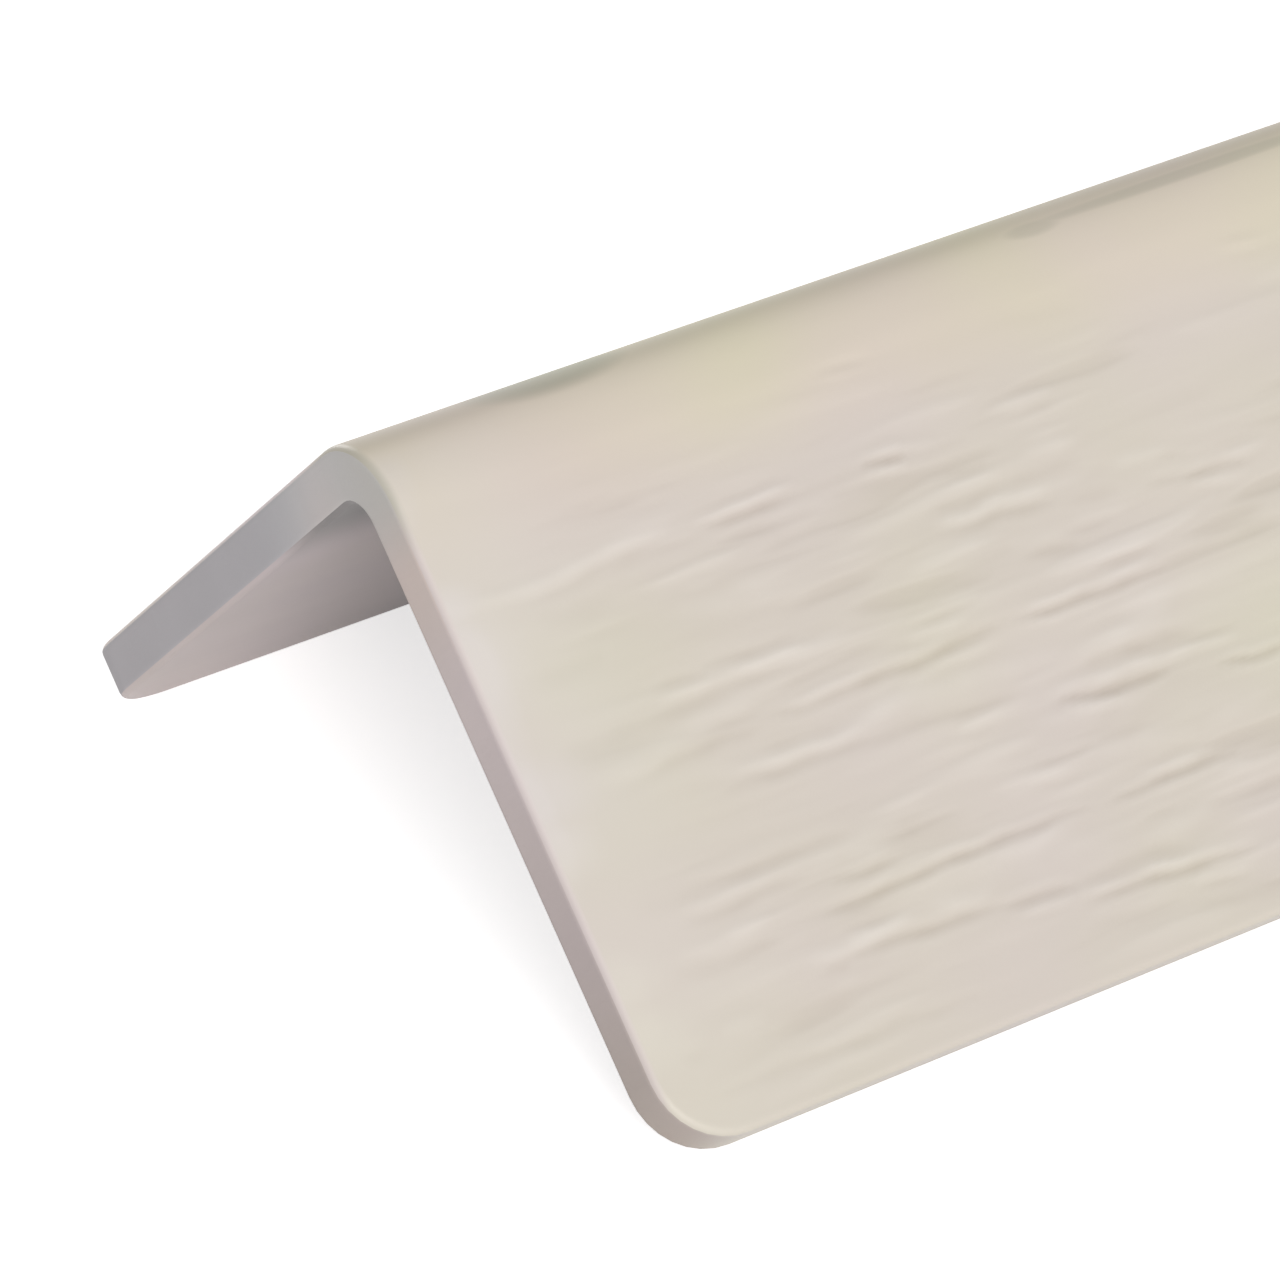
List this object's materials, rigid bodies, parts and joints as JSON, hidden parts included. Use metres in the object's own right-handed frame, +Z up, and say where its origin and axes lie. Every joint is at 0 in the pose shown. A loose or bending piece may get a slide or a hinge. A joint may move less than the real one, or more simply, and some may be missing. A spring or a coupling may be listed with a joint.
{
  "type": "corner guard moulding",
  "caption": "Right-angle corner guard: a long plastic L-section strip of even wall, with a rounded nose, rounded leg tips and an embossed wood-grain outer skin.",
  "frame": {"origin": "under the nose, halfway along the strip, on the surface that it lies on", "axes": "+X along the strip's length, +Y across it towards the back leg, +Z up through the rounded nose; the strip lies like a tent on the inner rims of its two legs"},
  "size_m": [1.2, 0.0422, 0.0212],
  "materials": {
    "embossed_plastic": "satin beige plastic, shallow wood-grain embossing on the outer skin"
  },
  "bodies": {
    "root": {"corner_guard": "embossed_plastic"}
  },
  "joints": []
}
